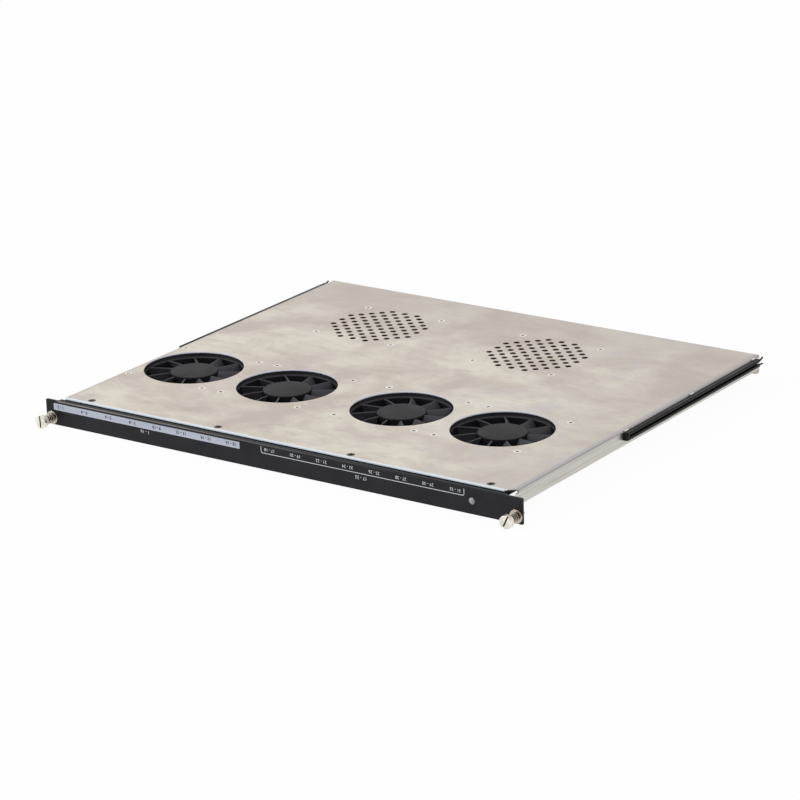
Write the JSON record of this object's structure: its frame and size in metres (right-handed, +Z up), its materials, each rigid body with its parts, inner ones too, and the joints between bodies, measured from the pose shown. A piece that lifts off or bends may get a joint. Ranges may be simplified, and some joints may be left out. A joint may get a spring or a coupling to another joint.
{
  "type": "fan module",
  "caption": "Flat sheet-metal rack fan tray with open axial fans, perforated grilles, a black front panel with captive thumbscrews, side guide rails and a rear plug.",
  "frame": {"origin": "under the middle of the module, level with the front panel's lower edge", "axes": "+X to the right along the front panel, +Y to the rear connector, +Z up out of the open fans"},
  "size_m": [0.4262, 0.3696, 0.021],
  "materials": {
    "tray_steel": "warm grey mill-finish sheet with faint cloudy smudges",
    "panel_black": "fine-textured black powder coat",
    "black_screw": "black oxide",
    "fan_screw_zinc": "bright plated",
    "lamp_lens": "milky clear",
    "lamp_holder": "black nylon",
    "board_green": "solder mask",
    "standoff_brass": "nickel plated",
    "board_screw_steel": "plated",
    "header_white": "moulded nylon",
    "connector_black": "moulded",
    "contact_gold": "gold flash",
    "fan_frame_black": "satin moulded",
    "impeller_black": "satin moulded",
    "magnet_dark": "sintered",
    "shaft_steel": "ground",
    "stator_copper": "enamelled copper on laminations",
    "bearing_bronze": "sintered bronze",
    "captive_nickel": "bright nickel plate",
    "spring_steel": "plated wire",
    "rail_black": "moulded nylon"
  },
  "bodies": {
    "root": {"tray": "tray_steel", "front_panel": "panel_black", "panel_screws": "black_screw", "fan_screws": "fan_screw_zinc", "led": "lamp_lens", "led_holder": "lamp_holder", "connector_board": "board_green", "board_standoffs": "standoff_brass", "board_screws": "board_screw_steel", "fan_headers": "header_white", "rear_connector": "connector_black", "connector_pins": "contact_gold", "fan_frame_1": "fan_frame_black", "stator_1": "stator_copper", "bearing_1": "bearing_bronze", "fan_frame_2": "fan_frame_black", "stator_2": "stator_copper", "bearing_2": "bearing_bronze", "fan_frame_3": "fan_frame_black", "stator_3": "stator_copper", "bearing_3": "bearing_bronze", "fan_frame_4": "fan_frame_black", "stator_4": "stator_copper", "bearing_4": "bearing_bronze", "fan_frame_5": "fan_frame_black", "stator_5": "stator_copper", "bearing_5": "bearing_bronze", "fan_frame_6": "fan_frame_black", "stator_6": "stator_copper", "bearing_6": "bearing_bronze", "captive_retainer_left": "captive_nickel", "side_rail_left": "rail_black", "captive_retainer_right": "captive_nickel", "side_rail_right": "rail_black"},
    "fan_rotor_1": {"impeller_1": "impeller_black", "rotor_magnet_1": "magnet_dark", "shaft_1": "shaft_steel"},
    "fan_rotor_2": {"impeller_2": "impeller_black", "rotor_magnet_2": "magnet_dark", "shaft_2": "shaft_steel"},
    "fan_rotor_3": {"impeller_3": "impeller_black", "rotor_magnet_3": "magnet_dark", "shaft_3": "shaft_steel"},
    "fan_rotor_4": {"impeller_4": "impeller_black", "rotor_magnet_4": "magnet_dark", "shaft_4": "shaft_steel"},
    "fan_rotor_5": {"impeller_5": "impeller_black", "rotor_magnet_5": "magnet_dark", "shaft_5": "shaft_steel"},
    "fan_rotor_6": {"impeller_6": "impeller_black", "rotor_magnet_6": "magnet_dark", "shaft_6": "shaft_steel"},
    "left_screw_travel": {"captive_spring_left": "spring_steel"},
    "left_screw": {"captive_screw_left": "captive_nickel"},
    "right_screw_travel": {"captive_spring_right": "spring_steel"},
    "right_screw": {"captive_screw_right": "captive_nickel"}
  },
  "joints": [
    {"name": "fan_1_spin", "type": "hinge", "parent": "root", "child": "fan_rotor_1", "pos_m": [-0.15785, -0.06, 0.0188], "axis": [0, 0, 1], "continuous": true},
    {"name": "fan_2_spin", "type": "hinge", "parent": "root", "child": "fan_rotor_2", "pos_m": [-0.06885, -0.06, 0.0188], "axis": [0, 0, 1], "continuous": true},
    {"name": "fan_3_spin", "type": "hinge", "parent": "root", "child": "fan_rotor_3", "pos_m": [0.03615, -0.06, 0.0188], "axis": [0, 0, 1], "continuous": true},
    {"name": "fan_4_spin", "type": "hinge", "parent": "root", "child": "fan_rotor_4", "pos_m": [0.12515, -0.06, 0.0188], "axis": [0, 0, 1], "continuous": true},
    {"name": "fan_5_spin", "type": "hinge", "parent": "root", "child": "fan_rotor_5", "pos_m": [-0.09365, 0.0968, 0.0188], "axis": [0, 0, 1], "continuous": true},
    {"name": "fan_6_spin", "type": "hinge", "parent": "root", "child": "fan_rotor_6", "pos_m": [0.05475, 0.0968, 0.0188], "axis": [0, 0, 1], "continuous": true},
    {"name": "left_screw_push", "type": "slide", "parent": "root", "child": "left_screw_travel", "axis": [0, 1, 0], "range_m": [0, 0.004], "stiffness_N_per_m": 400, "springref_m": -0.004, "deforming": ["captive_spring_left"]},
    {"name": "left_screw_turn", "type": "hinge", "parent": "left_screw_travel", "child": "left_screw", "pos_m": [-0.20775, -0.1705, 0.0054], "axis": [0, 1, 0], "continuous": true},
    {"name": "right_screw_push", "type": "slide", "parent": "root", "child": "right_screw_travel", "axis": [0, 1, 0], "range_m": [0, 0.004], "stiffness_N_per_m": 400, "springref_m": -0.004, "deforming": ["captive_spring_right"]},
    {"name": "right_screw_turn", "type": "hinge", "parent": "right_screw_travel", "child": "right_screw", "pos_m": [0.20775, -0.1705, 0.0054], "axis": [0, 1, 0], "continuous": true}
  ]
}
